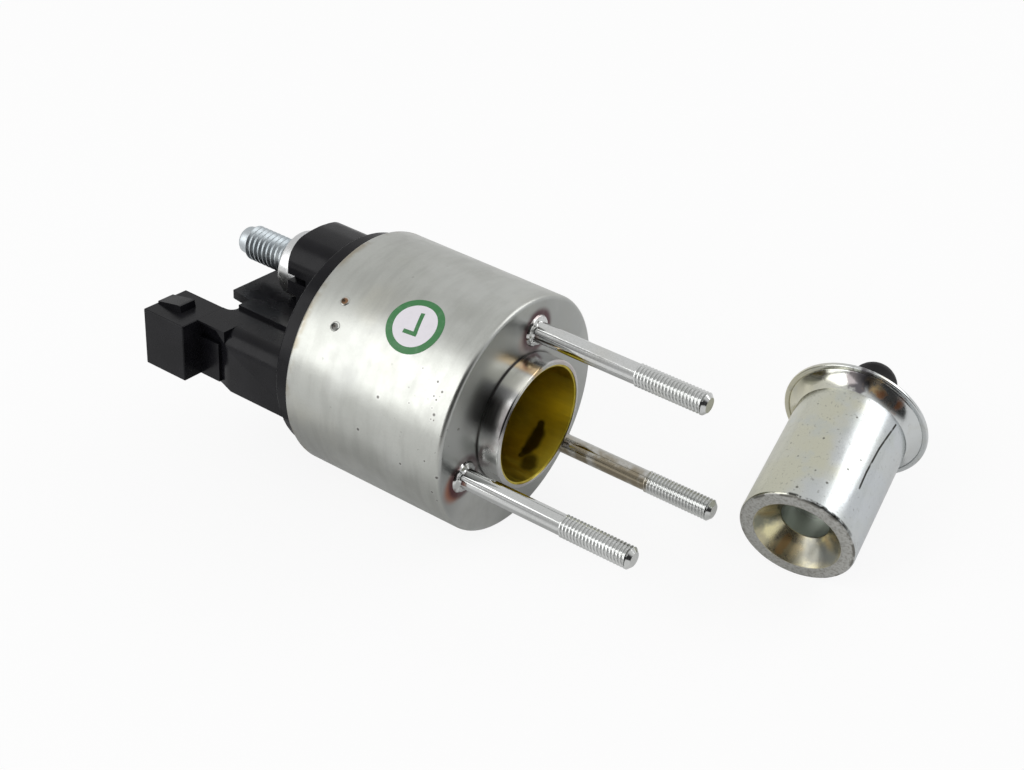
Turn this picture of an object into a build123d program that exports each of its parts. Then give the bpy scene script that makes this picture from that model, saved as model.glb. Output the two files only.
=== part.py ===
from build123d import *
import os
from math import asin, atan, cos, degrees, hypot, radians, sin

# Starter solenoid. Sizes are millimetres. X runs along the solenoid's axis towards its
# mounting studs, Z is up from the surface it lies on, and the origin is the centre of
# the can's mounting face.

# Can
can_radius = 27.0
can_length = 40.8
can_wall = 1.5
can_front_wall = 2.5
can_corner = 1.0
can_rim_round = 0.6
neck_radius = 14.6
neck_length = 5.4
neck_rim_round = 0.5

# Guide sleeve
bore_radius = 13.15
sleeve_wall = 0.5
sleeve_set_back = 0.2

# Mounting studs
stud_circle_radius = 19.5
stud_count = 3
stud_first_angle = 66.7
stud_length = 41.9
stud_thread_length = 17.2
stud_thread_radius = 2.45
stud_shank_radius = 2.24
stud_end_chamfer = 0.8
weld_foot_radius = 3.6
weld_foot_height = 1.0
weld_foot_shoulder_radius = 3.24
weld_foot_shoulder_height = 0.4
weld_foot_depth = 0.6
weld_foot_gap = 0.05

# Turn of the cap, and of all that lines up with it, about the axis
cap_turn = -12.26

# Coil
inner_gap = 0.1
end_gap = 0.3
bobbin_wall = 1.0
bobbin_flange = 1.2
bobbin_rim_gap = 0.6
coil_length = 23.6
pull_in_share = 0.46
winding_set_in = 0.9

# Fixed core
core_disc = 4.9
core_rim_gap = 0.2
core_hub_gap = 0.25
core_face = -20.0
core_cone_gap = 0.3
core_hole_radius = 3.45
bush_gap = 0.05

# Contact rod and bridge
rod_radius = 2.2
rod_slide_gap = 0.05
rod_front = -7.0
rod_end_chamfer = 0.5
rod_shoulder_radius = 5.5
rod_shoulder_thickness = 1.0
contact_spring_length = 3.1
contact_spring_mean_radius = 4.0
contact_spring_wire = 0.3
contact_spring_turns = 2
washer_thickness = 1.0
washer_radius = 5.5
washer_slide_gap = 0.1
bridge_overhang = 4.6
bridge_width = 12.0
bridge_thickness = 2.0
bridge_hole_radius = 3.2
bridge_corner_round = 2.0
contact_gap = 3.0
clip_thickness = 0.8
clip_radius = 3.9
rod_tail = 2.3
return_spring_mean_radius = 3.1
return_spring_wire = 0.3
return_spring_turns = 4

# Terminal cap
cap_rim_gap = 0.2
cap_flange_back = -45.0
cap_edge_round = 0.5
chamber_wall = 3.3
chamber_back = -43.0
gasket_thickness = 0.5
gasket_width = 2.9
gasket_gap = 0.05
boss_back = -56.0
boss_step = 1.4
boss_half_width = 9.5
boss_corner_round = 6.0
boss_slot_width = 1.5
boss_slot_rise = 1.9
boss_slot_depth = 3.0
boss_slot_front = -51.0
boss_strip_width = 3.1
boss_recess_depth = 2.5
boss_recess_front = -50.6
spring_well_radius = 4.2
spring_well_depth = 4.6

# Terminal studs
terminal_set_in = 10.5
terminal_radius = 3.93
terminal_shank_radius = 4.4
terminal_hole_gap = 0.1
terminal_tip = -77.0
dog_point_radius = 3.1
dog_point_length = 2.0
dog_point_chamfer = 0.4
head_size = 12.4
head_thickness = 4.0
head_side_gap = 0.3
head_end_gap = 0.4
collar_radius = 7.5
collar_length = 5.0
collar_edge_round = 0.4
collar_room = 0.3

# Ledge that carries the upper terminal's collar
ledge_top = 6.4
ledge_thickness = 2.1
ledge_back = -71.4
ledge_notch_back = -65.8
ledge_set_in = 9.8
ledge_corner_width = 4.1
ledge_corner_lean = 0.8
ledge_lap = 1.0

# Arm that carries the connector
arm_set_in = 1.1
arm_width = 7.7
arm_top = 5.6
arm_bottom = -8.6
arm_back = -68.3
arm_top_round = 4.0
arm_round_back = -60.5
arm_corner_round = 1.8
arm_reach_in = 4.0
panel_depth = 1.5
panel_lip = 0.5
panel_front = -59.0
panel_corner = 3.8
panel_floor_front = -63.3
badge_proud = 1.0
badge_back = -68.2
badge_front = -62.8
badge_top = 1.5
badge_bottom = -7.9

# Connector
socket_back = -79.6
socket_front = -68.1
socket_proud = 4.4
socket_width = 12.2
socket_wall = 1.5
socket_depth = 10.0
socket_edge_round = 0.3
latch_set_in = 4.0
latch_width = 4.2
latch_rise = 1.6
latch_start_rise = 0.4
latch_peak_back = -73.6
latch_peak_front = -72.8
latch_foot = -72.4
latch_sink = 0.5
latch_edge = 0.2
blade_width = 6.3
blade_thickness = 0.8
blade_set_in = 2.7
blade_back = -77.6
blade_front = -48.0
blade_gap = 0.1
blade_tip_chamfer = 1.0

# Leads
lead_radius = 0.6
lead_gap = 0.15
lead_bend = 1.5
lead_bend_front = 3.0
lead_bend_back = 1.0
switch_lead_step = 1.0
motor_lead_angle = -58.2
motor_lead_step = 1.0

# Plunger
plunger_gap = 0.07
plunger_crease = 32.0
plunger_rear = 36.0
plunger_mouth_chamfer = 0.7
countersink_radius = 9.9
countersink_depth = 5.0
pocket_radius = 5.4
pocket_depth = 10.0
plunger_wall = 4.0
spring_bore_radius = 9.0
clip_groove_depth = 0.6
clip_groove_front = 34.6
clip_groove_width = 0.8
clip_groove_gap = 0.05
plunger_clip_width = 1.6

# Plunger's rear flange
flange_spigot_depth = 1.5
flange_seat_gap = 0.05
flange_waist = 35.2
flange_waist_radius = 15.5
flange_thickness = 1.0
flange_radius = 16.8
flange_dish_depth = 1.2
flange_lip_width = 1.6
flange_sweep_along = 0.6
flange_sweep_out = 0.4

# Pull rod
pull_rod_radius = 4.0
pull_rod_end = 48.0
pull_head_thickness = 2.4
pull_head_gap = 0.4
tip_front = 36.8
tip_shoulder = 48.5
tip_end = 52.5
tip_radius = 5.4
tip_bore_gap = 0.05
retainer_thickness = 1.1
engagement_spring_mean_radius = 6.7
engagement_spring_wire = 0.7
engagement_spring_turns = 4

# Where the plunger lies beside the can: middle of its mouth, and its heading
plunger_place_x = 61.0
plunger_place_y = 13.4
plunger_heading = 97.7

# Worked out from the sizes above
sleeve_radius = bore_radius + sleeve_wall
can_inner_radius = can_radius - can_wall
bobbin_radius = can_inner_radius - bobbin_rim_gap
winding_radius = bobbin_radius - winding_set_in
cap_flange_radius = can_inner_radius - cap_rim_gap
chamber_radius = cap_flange_radius - chamber_wall
boss_radius = cap_flange_radius - boss_step
terminal_offset = boss_radius - terminal_set_in
boss_pocket_half_width = head_size / 2 + head_side_gap
boss_pocket_half_length = terminal_offset + head_size / 2 + head_end_gap
boss_slot_middle = terminal_offset + boss_slot_rise
boss_slot_low = boss_slot_middle - boss_slot_width / 2
arm_near = arm_set_in - cap_flange_radius
arm_far = arm_near + arm_width
ledge_near = arm_near + ledge_set_in
ledge_corner_near = ledge_near + ledge_corner_width
socket_near = arm_near - socket_proud
socket_far = socket_near + socket_width
latch_near = socket_near + latch_set_in
latch_far = latch_near + latch_width
blade_side = arm_near + blade_set_in
switch_lead_side = blade_side + switch_lead_step
bobbin_tube_inner = sleeve_radius + inner_gap
bobbin_tube_outer = bobbin_tube_inner + bobbin_wall
pull_in_inner = bobbin_tube_outer + inner_gap
pull_in_outer = pull_in_inner + pull_in_share * (winding_radius - pull_in_inner - inner_gap)
motor_lead_place = bobbin_tube_outer + motor_lead_step
motor_lead_side = motor_lead_place * cos(radians(motor_lead_angle))
motor_lead_height = motor_lead_place * sin(radians(motor_lead_angle))
bobbin_front = -can_front_wall - end_gap
coil_front = bobbin_front - bobbin_flange
coil_back = coil_front - coil_length
bobbin_back = coil_back - bobbin_flange
core_front = bobbin_back - end_gap
core_back = core_front - core_disc
core_radius = can_inner_radius - core_rim_gap
hub_radius = bore_radius - core_hub_gap
countersink_slope = (countersink_radius - pocket_radius) / countersink_depth
nose_length = countersink_depth - core_cone_gap
nose_base_radius = countersink_radius - core_cone_gap
nose_tip_radius = nose_base_radius - nose_length * countersink_slope
bush_radius = core_hole_radius - bush_gap
bush_bore = rod_radius + rod_slide_gap
gasket_front = core_back - gasket_gap
gasket_back = gasket_front - gasket_thickness
cap_front = gasket_back - gasket_gap
shoulder_front = core_back - end_gap
shoulder_back = shoulder_front - rod_shoulder_thickness
front_washer = shoulder_back - contact_spring_length
bridge_front = front_washer - washer_thickness
bridge_back = bridge_front - bridge_thickness
rear_washer_back = bridge_back - washer_thickness
clip_back = rear_washer_back - clip_thickness
rod_back = clip_back - rod_tail
head_front = bridge_back - contact_gap
head_back = head_front - head_thickness
collar_back = boss_back - collar_length
terminal_hole_radius = terminal_shank_radius + terminal_hole_gap
plunger_radius = bore_radius - plunger_gap
spring_bore_front = pocket_depth + plunger_wall
pull_head_front = spring_bore_front + pull_head_gap
pull_head_back = pull_head_front + pull_head_thickness
retainer_back = clip_groove_front
retainer_front = retainer_back - retainer_thickness
flange_spigot_radius = plunger_radius - flange_spigot_depth
flange_bore = flange_spigot_radius + flange_seat_gap
flange_back = flange_waist + flange_thickness
socket_middle_height = (arm_top + arm_bottom) / 2
plunger_pitch = degrees(atan((flange_radius - plunger_radius) / flange_waist))
mouth_height = plunger_radius * cos(radians(plunger_pitch)) - can_radius


def turned(*outline):
    # closed outline of (station, radius) points turned about the X axis
    return revolve(make_face(Polyline(*outline, close=True)), Axis.X)


def rod(radius, start, end, side=0.0, height=0.0):
    # round bar along X between two stations
    place = Pos((start + end) / 2, side, height) * Rot(0, 90, 0)
    return place * Cylinder(radius, abs(end - start))


def ring(outer, inner, start, end):
    low, high = sorted((start, end))
    return turned((low, inner), (high, inner), (high, outer), (low, outer))


def block(x, y, z):
    # box between two values on each axis
    spans = [sorted(span) for span in (x, y, z)]
    sizes = [high - low for low, high in spans]
    middle = [(low + high) / 2 for low, high in spans]
    return Pos(*middle) * Box(*sizes)


def plan_prism(outline, low, high):
    # outline of (x, y) points raised between two heights
    face = make_face(Polyline(*outline, close=True))
    return Pos(0, 0, low) * extrude(face, high - low)


def side_prism(outline, near, far):
    # outline of (x, z) points carried across from the near side to the far side
    points = [(x, near, z) for x, z in outline]
    face = make_face(Polyline(*points, close=True))
    return extrude(face, far - near, dir=(0, 1, 0))


def circles_at(piece, station, radius):
    # circular edges about the X axis at one station and radius
    found = []
    for edge in piece.edges().filter_by(GeomType.CIRCLE):
        centre = edge.arc_center
        on_axis = hypot(centre.Y, centre.Z) < 0.01
        if on_axis and abs(centre.X - station) < 0.01 and abs(edge.radius - radius) < 0.01:
            found.append(edge)
    return found


def coil_spring(mean_radius, wire, start, end, turns):
    # wire spring wound about the X axis, kept inside its two stations
    low = min(start, end) + wire
    length = abs(end - start) - 2 * wire
    path = Pos(low, 0, 0) * Rot(0, 90, 0) * Helix(length / turns, length, mean_radius)
    section = Plane(origin=path @ 0, z_dir=path % 0) * Circle(wire)
    return sweep(section, path=path, is_frenet=True)


def wire_run(points, radius):
    path = FilletPolyline(*points, radius=lead_bend)
    section = Plane(origin=path @ 0, z_dir=path % 0) * Circle(radius)
    return sweep(section, path=path)


def with_cap(piece):
    # turns a piece from the cap's own upright place into the solenoid's frame
    return Rot(cap_turn, 0, 0) * piece


# Can and what is fixed to its front
def at_each_stud(piece):
    places = []
    for index in range(stud_count):
        angle = radians(stud_first_angle + index * 360 / stud_count)
        side = stud_circle_radius * cos(angle)
        height = stud_circle_radius * sin(angle)
        places.append(Pos(0, side, height) * piece)
    return places


def make_can():
    body = turned(
        (0, sleeve_radius),
        (0, can_radius),
        (-can_length, can_radius),
        (-can_length, can_inner_radius),
        (-can_front_wall, can_inner_radius),
        (-can_front_wall, sleeve_radius),
    )
    neck = ring(neck_radius, sleeve_radius, -can_front_wall, neck_length)
    can = body + neck
    for seat in at_each_stud(rod(weld_foot_radius + weld_foot_gap, 0, -weld_foot_depth)):
        can -= seat
    can = fillet(circles_at(can, 0, can_radius), can_corner)
    can = fillet(circles_at(can, -can_length, can_radius), can_rim_round)
    return fillet(circles_at(can, neck_length, neck_radius), neck_rim_round)


def make_sleeve():
    return ring(sleeve_radius, bore_radius, core_front + end_gap, neck_length - sleeve_set_back)


def make_mounting_stud():
    thread_start = stud_length - stud_thread_length
    step = stud_thread_radius - stud_shank_radius
    return turned(
        (-weld_foot_depth, 0),
        (-weld_foot_depth, weld_foot_radius),
        (0, weld_foot_radius),
        (weld_foot_shoulder_height, weld_foot_shoulder_radius),
        (weld_foot_height, stud_shank_radius),
        (thread_start, stud_shank_radius),
        (thread_start + step, stud_thread_radius),
        (stud_length - stud_end_chamfer, stud_thread_radius),
        (stud_length, stud_thread_radius - stud_end_chamfer),
        (stud_length, 0),
    )


# Coil
def make_bobbin():
    tube = ring(bobbin_tube_outer, bobbin_tube_inner, bobbin_front, bobbin_back)
    front = ring(bobbin_radius, bobbin_tube_inner, bobbin_front, coil_front)
    back = ring(bobbin_radius, bobbin_tube_inner, coil_back, bobbin_back)
    return tube + front + back - switch_lead(lead_gap) - motor_lead(lead_gap)


def make_pull_in_winding():
    return ring(pull_in_outer, pull_in_inner, coil_front - inner_gap, coil_back + inner_gap)


def make_hold_in_winding():
    inner = pull_in_outer + inner_gap
    return ring(winding_radius, inner, coil_front - inner_gap, coil_back + inner_gap)


# Fixed core, its bush and the gasket behind it
def make_core():
    nose_tip = core_face + nose_length
    core = turned(
        (core_back, core_hole_radius),
        (core_back, core_radius),
        (core_front, core_radius),
        (core_front, hub_radius),
        (core_face, hub_radius),
        (core_face, nose_base_radius),
        (nose_tip, nose_tip_radius),
        (nose_tip, core_hole_radius),
    )
    return core - switch_lead(lead_gap) - motor_lead(lead_gap)


def make_core_bush():
    return ring(bush_radius, bush_bore, core_back, core_face + nose_length)


def make_gasket():
    outer = cap_flange_radius
    return ring(outer, outer - gasket_width, gasket_front, gasket_back)


# Contact rod, bridge and springs
def make_contact_rod():
    return turned(
        (rod_back, 0),
        (rod_back, rod_radius),
        (shoulder_back, rod_radius),
        (shoulder_back, rod_shoulder_radius),
        (shoulder_front, rod_shoulder_radius),
        (shoulder_front, rod_radius),
        (rod_front - rod_end_chamfer, rod_radius),
        (rod_front, rod_radius - rod_end_chamfer),
        (rod_front, 0),
    )


def make_rod_clip():
    return ring(clip_radius, rod_radius, rear_washer_back, clip_back)


def make_contact_spring():
    return coil_spring(
        contact_spring_mean_radius,
        contact_spring_wire,
        shoulder_back,
        front_washer,
        contact_spring_turns,
    )


def make_return_spring():
    well_end = head_back - spring_well_depth
    return coil_spring(
        return_spring_mean_radius,
        return_spring_wire,
        clip_back,
        well_end,
        return_spring_turns,
    )


def make_bridge_washers():
    bore = rod_radius + washer_slide_gap
    front = ring(washer_radius, bore, front_washer, bridge_front)
    rear = ring(washer_radius, bore, bridge_back, rear_washer_back)
    neck = ring(bridge_hole_radius - inner_gap, bore, bridge_front, bridge_back)
    return [front, rear + neck]


def make_bridge():
    half_width = bridge_width / 2
    half_length = terminal_offset + bridge_overhang
    plate = block((bridge_back, bridge_front), (-half_width, half_width), (-half_length, half_length))
    plate = fillet(plate.edges().filter_by(Axis.X), bridge_corner_round)
    return plate - rod(bridge_hole_radius, bridge_back, bridge_front)


# Terminal studs and collars, upper one for the battery and lower one for the motor
def make_terminal_stud(height):
    head_half = head_size / 2
    head = block(
        (head_back, head_front),
        (-head_half, head_half),
        (height - head_half, height + head_half),
    )
    dog_start = terminal_tip + dog_point_length
    slope = terminal_radius - dog_point_radius
    shank_step = terminal_shank_radius - terminal_radius
    shank = turned(
        (head_back, 0),
        (head_back, terminal_shank_radius),
        (collar_back, terminal_shank_radius),
        (collar_back - shank_step, terminal_radius),
        (dog_start + slope, terminal_radius),
        (dog_start, dog_point_radius),
        (terminal_tip + dog_point_chamfer, dog_point_radius),
        (terminal_tip, dog_point_radius - dog_point_chamfer),
        (terminal_tip, 0),
    )
    return head + Pos(0, 0, height) * shank


def make_collar(height):
    collar = ring(collar_radius, terminal_hole_radius, boss_back, collar_back)
    collar = fillet(circles_at(collar, collar_back, collar_radius), collar_edge_round)
    return Pos(0, 0, height) * collar


# Leads from the coil, drawn thicker where they are the channel that holds them
def switch_lead(room=0.0):
    height = socket_middle_height
    points = (
        (coil_back + inner_gap, switch_lead_side, height),
        (chamber_back + lead_bend_front, switch_lead_side, height),
        (chamber_back - lead_bend_back, blade_side, height),
        (blade_front, blade_side, height),
    )
    return wire_run(points, lead_radius + room)


def motor_lead(room=0.0):
    height = motor_lead_height
    head_middle = (head_front + head_back) / 2
    points = (
        (coil_back + inner_gap, motor_lead_side, height),
        (head_middle, motor_lead_side, height),
        (head_middle, head_size / 2, height),
    )
    return wire_run(points, lead_radius + room)


# Connector blade
def blade_bar(room=0.0):
    half_width = blade_width / 2 + room
    half_thickness = blade_thickness / 2 + room
    return block(
        (blade_back, blade_front),
        (blade_side - half_thickness, blade_side + half_thickness),
        (socket_middle_height - half_width, socket_middle_height + half_width),
    )


def make_blade():
    blade = blade_bar()
    corners = blade.edges().filter_by(Axis.Y).group_by(Axis.X)[0]
    return chamfer(corners, blade_tip_chamfer)


# Terminal cap
def cap_boss():
    outline = Circle(boss_radius) & Rectangle(2 * boss_radius, 2 * boss_half_width)
    outline = fillet(outline.vertices(), boss_corner_round)
    boss = extrude(outline, cap_flange_back - boss_back)
    upright = Pos(cap_flange_back, 0, 0) * Rot(0, -90, 0) * boss
    slot = block(
        (boss_back, boss_slot_front),
        (-boss_half_width, boss_slot_depth - boss_half_width),
        (boss_slot_low, boss_slot_low + boss_slot_width),
    )
    recess = block(
        (boss_back, boss_recess_front),
        (-boss_half_width, boss_recess_depth - boss_half_width),
        (ledge_top, boss_slot_low - boss_strip_width),
    )
    return upright - slot - recess


def cap_ledge():
    outline = (
        (cap_flange_back, boss_half_width),
        (cap_flange_back, ledge_near),
        (ledge_notch_back, ledge_near),
        (ledge_notch_back, ledge_corner_near - ledge_corner_lean),
        (ledge_back, ledge_corner_near),
        (ledge_back, boss_half_width),
    )
    plate = plan_prism(outline, ledge_top - ledge_thickness, ledge_top)
    relief = rod(collar_radius + collar_room, collar_back - collar_room, boss_back, 0, terminal_offset)
    return plate - relief


def cap_arm():
    front = cap_flange_back + arm_reach_in
    root_far = ledge_near + ledge_lap
    rounded = block((front, arm_round_back), (arm_near, arm_far), (arm_bottom, arm_top))
    top_edge = rounded.edges().filter_by(Axis.X).group_by(Axis.Z)[-1].sort_by(Axis.Y)[0]
    rounded = fillet(top_edge, arm_top_round)
    outline = (
        (arm_round_back, arm_near),
        (arm_back, arm_near),
        (arm_back, arm_far),
        (ledge_notch_back, arm_far),
        (ledge_notch_back, root_far),
        (front, root_far),
        (front, arm_far),
        (arm_round_back, arm_far),
    )
    plan = make_face(Polyline(*outline, close=True))
    corner = plan.vertices().sort_by_distance((ledge_notch_back, arm_far, 0))[0]
    plan = fillet(corner, arm_corner_round)
    back = Pos(0, 0, arm_bottom) * extrude(plan, arm_top - arm_bottom)
    return rounded + back - arm_panel() + arm_badge()


def arm_panel():
    floor = arm_near + panel_depth
    top = arm_top - panel_lip
    plan = (
        (arm_back, arm_near),
        (arm_back, floor),
        (panel_floor_front, floor),
        (panel_front, arm_near),
    )
    side = (
        (arm_back, top),
        (panel_front - panel_corner, top),
        (panel_front, top - panel_corner),
        (panel_front, arm_bottom),
        (arm_back, arm_bottom),
    )
    return plan_prism(plan, arm_bottom, top) & side_prism(side, arm_near, floor)


def arm_badge():
    floor = arm_near + panel_depth
    return block((badge_back, badge_front), (floor, floor - badge_proud), (badge_bottom, badge_top))


def cap_socket():
    shell = block((socket_back, socket_front), (socket_near, socket_far), (badge_bottom, arm_top))
    shell = fillet(shell.edges(), socket_edge_round)
    latch = side_prism(
        (
            (socket_back + latch_edge, arm_top - latch_sink),
            (socket_back + latch_edge, arm_top + latch_start_rise),
            (latch_peak_back, arm_top + latch_rise),
            (latch_peak_front, arm_top + latch_rise),
            (latch_foot, arm_top - latch_sink),
        ),
        latch_near,
        latch_far,
    )
    mouth = block(
        (socket_back, socket_back + socket_depth),
        (socket_near + socket_wall, socket_far - socket_wall),
        (badge_bottom + socket_wall, arm_top - socket_wall),
    )
    mouth = fillet(mouth.edges().filter_by(Axis.X), socket_edge_round)
    return shell + latch, mouth


def make_cap():
    flange = rod(cap_flange_radius, cap_flange_back, cap_front)
    flange = fillet(circles_at(flange, cap_flange_back, cap_flange_radius), cap_edge_round)
    socket, mouth = cap_socket()
    cap = flange + cap_boss() + cap_ledge() + cap_arm() + socket
    cap -= rod(chamber_radius, chamber_back, cap_front)
    cap -= block(
        (head_back, chamber_back),
        (-boss_pocket_half_width, boss_pocket_half_width),
        (-boss_pocket_half_length, boss_pocket_half_length),
    )
    cap -= rod(spring_well_radius, head_back - spring_well_depth, head_back)
    for height in (terminal_offset, -terminal_offset):
        cap -= rod(terminal_hole_radius, boss_back, head_back, 0, height)
    cap -= mouth
    cap -= blade_bar(blade_gap)
    cap -= switch_lead(lead_gap)
    cap -= motor_lead(lead_gap)
    return cap


# Plunger, drawn along X from its mouth at zero to its rear
def make_plunger():
    clip_groove_back = clip_groove_front + clip_groove_width
    body = turned(
        (0, countersink_radius),
        (0, plunger_radius - plunger_mouth_chamfer),
        (plunger_mouth_chamfer, plunger_radius),
        (plunger_crease, plunger_radius),
        (plunger_crease, flange_spigot_radius),
        (plunger_rear, flange_spigot_radius),
        (plunger_rear, spring_bore_radius),
        (clip_groove_back, spring_bore_radius),
        (clip_groove_back, spring_bore_radius + clip_groove_depth),
        (clip_groove_front, spring_bore_radius + clip_groove_depth),
        (clip_groove_front, spring_bore_radius),
        (spring_bore_front, spring_bore_radius),
        (spring_bore_front, 0),
        (pocket_depth, 0),
        (pocket_depth, pocket_radius),
        (countersink_depth, pocket_radius),
    )
    return body


def make_plunger_flange():
    rise = flange_waist - plunger_crease
    spread = flange_waist_radius - plunger_radius
    outline = Polyline(
        (flange_waist, flange_waist_radius),
        (flange_waist, flange_radius),
        (flange_back, flange_radius),
        (flange_back, flange_radius - flange_lip_width),
        (flange_back - flange_dish_depth, flange_radius - 2 * flange_lip_width),
        (flange_back - flange_dish_depth, flange_bore),
        (plunger_crease, flange_bore),
        (plunger_crease, plunger_radius),
    )
    sweep_side = ThreePointArc(
        (plunger_crease, plunger_radius),
        (plunger_crease + rise * flange_sweep_along, plunger_radius + spread * flange_sweep_out),
        (flange_waist, flange_waist_radius),
    )
    return revolve(make_face(outline + sweep_side), Axis.X)


def make_plunger_clip():
    outer = spring_bore_radius + clip_groove_depth - clip_groove_gap
    front = clip_groove_front + clip_groove_gap
    back = clip_groove_front + clip_groove_width - clip_groove_gap
    return ring(outer, outer - plunger_clip_width, front, back)


def make_retainer():
    bore = pull_rod_radius + bush_gap
    return ring(spring_bore_radius - inner_gap, bore, retainer_front, retainer_back)


def make_pull_rod():
    return turned(
        (pull_head_front, 0),
        (pull_head_front, spring_bore_radius - rod_slide_gap),
        (pull_head_back, spring_bore_radius - rod_slide_gap),
        (pull_head_back, pull_rod_radius),
        (pull_rod_end, pull_rod_radius),
        (pull_rod_end, 0),
    )


def make_rod_tip():
    dome_height = tip_end - tip_shoulder
    dome_sphere = (tip_radius ** 2 + dome_height ** 2) / (2 * dome_height)
    half_turn = asin(tip_radius / dome_sphere) / 2
    shell = Polyline(
        (tip_end, 0),
        (pull_rod_end + tip_bore_gap, 0),
        (pull_rod_end + tip_bore_gap, pull_rod_radius + tip_bore_gap),
        (tip_front, pull_rod_radius + tip_bore_gap),
        (tip_front, tip_radius),
        (tip_shoulder, tip_radius),
    )
    dome = ThreePointArc(
        (tip_shoulder, tip_radius),
        (tip_end - dome_sphere * (1 - cos(half_turn)), dome_sphere * sin(half_turn)),
        (tip_end, 0),
    )
    return revolve(make_face(shell + dome), Axis.X)


def make_engagement_spring():
    return coil_spring(
        engagement_spring_mean_radius,
        engagement_spring_wire,
        pull_head_back,
        retainer_front,
        engagement_spring_turns,
    )


def lay_plunger(piece):
    # the plunger lies on its mouth edge and its flange, beside the can
    place = Pos(plunger_place_x, plunger_place_y, mouth_height)
    return place * Rot(0, 0, plunger_heading) * Rot(0, -plunger_pitch, 0) * piece


nodes = {
    "can_shell": make_can(),
    "guide_sleeve": make_sleeve(),
    "mounting_studs": at_each_stud(make_mounting_stud()),
    "bobbin": with_cap(make_bobbin()),
    "pull_in_winding": make_pull_in_winding(),
    "hold_in_winding": make_hold_in_winding(),
    "fixed_core": with_cap(make_core()),
    "core_bush": make_core_bush(),
    "cap_gasket": make_gasket(),
    "terminal_cap": with_cap(make_cap()),
    "battery_stud": with_cap(make_terminal_stud(terminal_offset)),
    "battery_stud_collar": with_cap(make_collar(terminal_offset)),
    "motor_stud": with_cap(make_terminal_stud(-terminal_offset)),
    "motor_stud_collar": with_cap(make_collar(-terminal_offset)),
    "switch_blade": with_cap(make_blade()),
    "switch_lead": with_cap(switch_lead()),
    "motor_lead": with_cap(motor_lead()),
    "contact_rod": make_contact_rod(),
    "rod_clip": make_rod_clip(),
    "return_spring": make_return_spring(),
    "contact_spring": make_contact_spring(),
    "bridge_washers": make_bridge_washers(),
    "contact_bridge": with_cap(make_bridge()),
    "plunger": lay_plunger(make_plunger()),
    "plunger_flange": lay_plunger(make_plunger_flange()),
    "plunger_clip": lay_plunger(make_plunger_clip()),
    "spring_retainer": lay_plunger(make_retainer()),
    "pull_rod": lay_plunger(make_pull_rod()),
    "pull_rod_tip": lay_plunger(make_rod_tip()),
    "engagement_spring": lay_plunger(make_engagement_spring()),
}

os.makedirs("parts", exist_ok=True)
for name, shape in nodes.items():
    if isinstance(shape, list):
        shape = Compound(children=shape)
    export_step(shape, f"parts/{name}.step")
    print(name, len(shape.solids()), round(shape.volume, 1), shape.is_valid)
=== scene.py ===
import bpy
import bmesh
import math
from mathutils import Matrix, Vector


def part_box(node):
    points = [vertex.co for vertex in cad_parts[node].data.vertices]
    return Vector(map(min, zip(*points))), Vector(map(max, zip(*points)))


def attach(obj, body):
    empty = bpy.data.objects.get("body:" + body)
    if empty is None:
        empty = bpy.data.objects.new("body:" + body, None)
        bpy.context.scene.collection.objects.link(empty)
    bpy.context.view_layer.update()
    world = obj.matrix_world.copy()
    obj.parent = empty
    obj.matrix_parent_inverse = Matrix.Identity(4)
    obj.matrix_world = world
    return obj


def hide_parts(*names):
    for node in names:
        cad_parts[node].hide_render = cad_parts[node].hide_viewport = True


# Starter solenoid with its plunger taken out. Metres, same frame as the solids:
# X along the can's axis towards the studs, Z up, floor at the can's lowest line.
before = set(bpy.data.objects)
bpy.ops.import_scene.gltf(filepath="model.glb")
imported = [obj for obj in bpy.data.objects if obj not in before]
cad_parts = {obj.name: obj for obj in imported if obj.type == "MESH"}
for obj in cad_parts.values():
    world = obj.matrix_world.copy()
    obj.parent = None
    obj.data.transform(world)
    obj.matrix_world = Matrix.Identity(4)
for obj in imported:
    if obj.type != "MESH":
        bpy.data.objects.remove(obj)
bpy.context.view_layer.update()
mm = 0.001

# the cap and what lines up with it stand turned about the can's axis
capTurn = math.radians(-12.26)

plungerPlace = {
    "mouth": (61.0, 13.4),
    "heading": 97.7,
    "bodyRadius": 13.08,
    "flangeRadius": 16.8,
    "waist": 35.2,
}

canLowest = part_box("can_shell")[0][2]


def plungerMatrix():
    rise = plungerPlace["flangeRadius"] - plungerPlace["bodyRadius"]
    pitch = math.atan(rise / plungerPlace["waist"])
    height = plungerPlace["bodyRadius"] * mm * math.cos(pitch) + canLowest
    mouthX, mouthY = plungerPlace["mouth"]
    place = Matrix.Translation((mouthX * mm, mouthY * mm, height))
    heading = Matrix.Rotation(math.radians(plungerPlace["heading"]), 4, "Z")
    return place @ heading @ Matrix.Rotation(-pitch, 4, "Y")


def capMatrix(height):
    return Matrix.Rotation(capTurn, 4, "X") @ Matrix.Translation((0, 0, height * mm))


def aroundAxis(angle, radius):
    # side and height of a point at this angle round the X axis
    return radius * math.cos(math.radians(angle)), radius * math.sin(math.radians(angle))


# Shape helpers

def turnedShape(outline, steps=192, closed=True):
    # outline of (station, radius) points in millimetres spun about the X axis
    bm = bmesh.new()
    verts = [bm.verts.new((x * mm, r * mm, 0)) for x, r in outline]
    pairs = list(zip(verts, verts[1:]))
    if closed:
        pairs.append((verts[-1], verts[0]))
    edges = [bm.edges.new(pair) for pair in pairs]
    bmesh.ops.spin(
        bm, geom=verts + edges, cent=(0, 0, 0), axis=(1, 0, 0),
        angle=math.tau, steps=steps, use_merge=True,
    )
    bmesh.ops.remove_doubles(bm, verts=bm.verts, dist=1e-7)
    bmesh.ops.recalc_face_normals(bm, faces=bm.faces)
    return bm


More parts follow.
